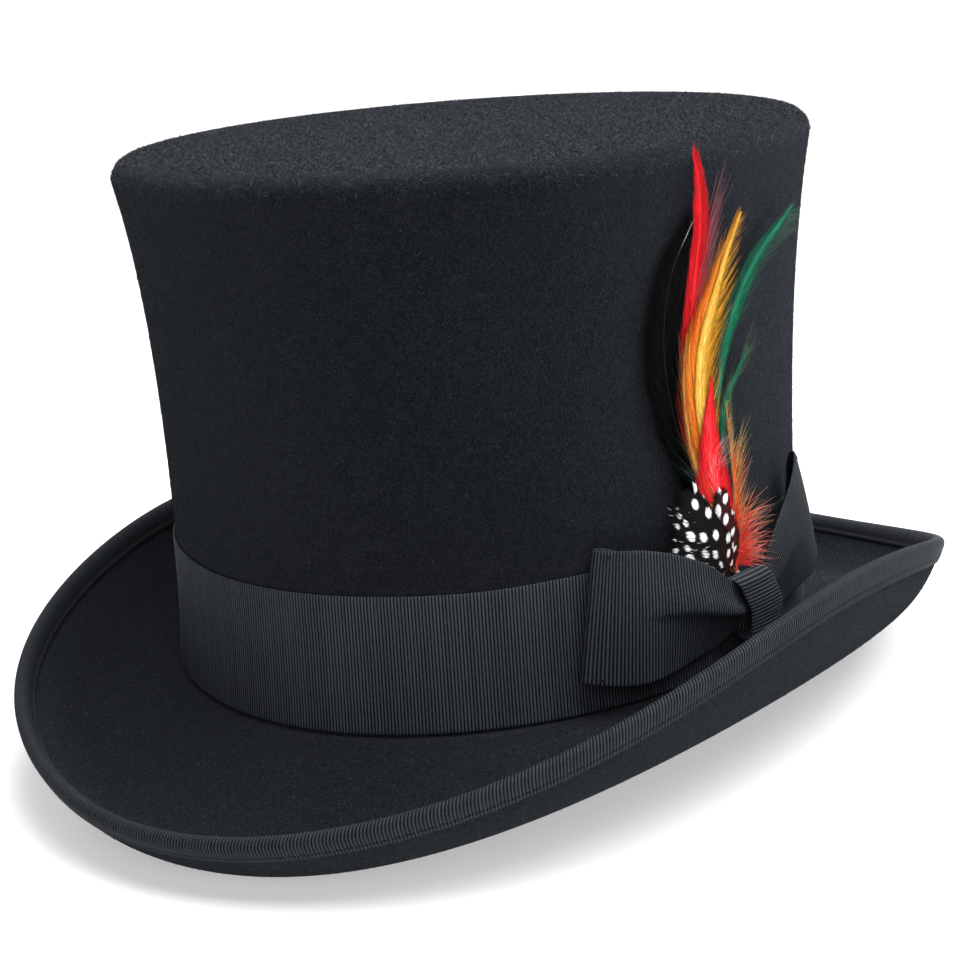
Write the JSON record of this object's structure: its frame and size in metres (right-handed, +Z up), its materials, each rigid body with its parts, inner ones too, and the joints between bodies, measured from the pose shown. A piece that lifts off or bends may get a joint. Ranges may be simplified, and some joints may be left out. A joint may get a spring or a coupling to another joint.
{
  "type": "top hat",
  "caption": "Tall black felt top hat with a bell crown and rolled, ribbon-bound brim, a grosgrain band tied in a side bow, and a removable plume of dyed feathers.",
  "frame": {"origin": "under the middle of the head opening, at the height of the lowest point of the brim's underside, which is the surface the hat stands on", "axes": "+Z up through the crown's tip, -Y towards the front of the hat, +X towards the wearer's left, where the bow and the plume are"},
  "size_m": [0.2537, 0.3222, 0.1768],
  "materials": {
    "felt": "brushed felt, matt with a short nap",
    "ribbon": "grosgrain, ribbed, low sheen",
    "thread": "twisted sewing thread",
    "sweatband": "soft leather, satin",
    "lining": "satin weave, soft gloss",
    "quill": "horn-like quill, satin",
    "feather_black": "feather barbs, soft sheen",
    "feather_green": "dyed feather barbs, soft sheen",
    "feather_red": "dyed feather barbs, soft sheen",
    "feather_yellow": "dyed feather barbs, soft sheen",
    "hackle_olive": "dyed feather barbs, soft sheen",
    "hackle_red": "dyed feather barbs, soft sheen",
    "guinea": "spotted feather barbs, soft sheen"
  },
  "bodies": {
    "hat": {"felt_crown": "felt", "felt_brim": "felt", "brim_binding": "ribbon", "binding_thread": "thread", "hat_band": "ribbon", "bow_front_loop": "ribbon", "bow_rear_loop": "ribbon", "bow_knot": "ribbon", "bow_tacks": "thread", "sweatband": "sweatband", "sweatband_thread": "thread", "lining_side": "lining", "lining_tip": "lining"},
    "plume_stem": {"plume_quills": "quill", "plume_wrap": "thread"},
    "plume": {"feather_black": "feather_black", "feather_green_long": "feather_green", "feather_green_short": "feather_green", "feather_red_long": "feather_red", "feather_red_short": "feather_red", "feather_yellow": "feather_yellow", "hackle_left": "hackle_olive", "hackle_right": "hackle_red", "guinea_left": "guinea", "guinea_right": "guinea"}
  },
  "joints": [
    {"name": "plume_pull", "type": "slide", "parent": "hat", "child": "plume_stem", "axis": [0.1305, -0.1142, 0.9848], "range_m": [0, 0.02]},
    {"name": "plume_sway", "type": "hinge", "parent": "plume_stem", "child": "plume", "pos_m": [0.09695, -0.00996, 0.05608], "axis": [0.976, -0.16, -0.1479], "range_deg": [-5, 5], "stiffness_Nm_per_rad": 0.02}
  ]
}
